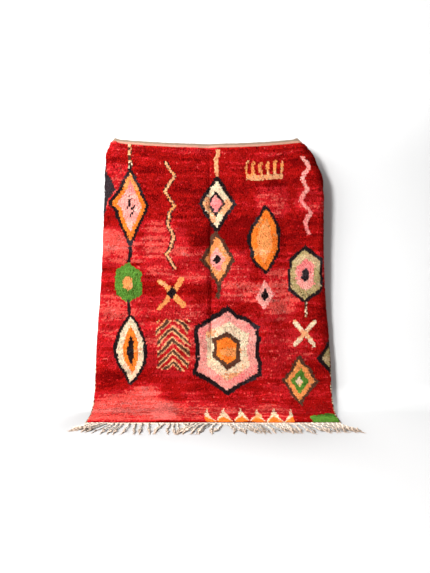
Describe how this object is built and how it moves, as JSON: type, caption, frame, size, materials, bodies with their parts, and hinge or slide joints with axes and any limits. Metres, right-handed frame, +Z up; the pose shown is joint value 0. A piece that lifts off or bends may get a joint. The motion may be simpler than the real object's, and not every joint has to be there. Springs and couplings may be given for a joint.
{
  "type": "hung berber rug",
  "caption": "Thick hand-knotted wool berber rug, hung by its top edge with folded-back corners, its fringed lower end sweeping forward onto the floor",
  "frame": {"origin": "on the floor, at the middle of the footprint, fringe included", "axes": "+Z up, the pile faces -Y, so that the wall or line it hangs from is on the +Y side, +X to the right seen from the front"},
  "size_m": [1.7224, 0.739, 1.7644],
  "materials": {
    "pile": "matte wool pile",
    "band": "flat woven wool",
    "fringe": "twisted wool yarn"
  },
  "bodies": {
    "root": {"rug": "pile", "heading_band": "band", "bottom_fringe": "fringe"}
  },
  "joints": []
}
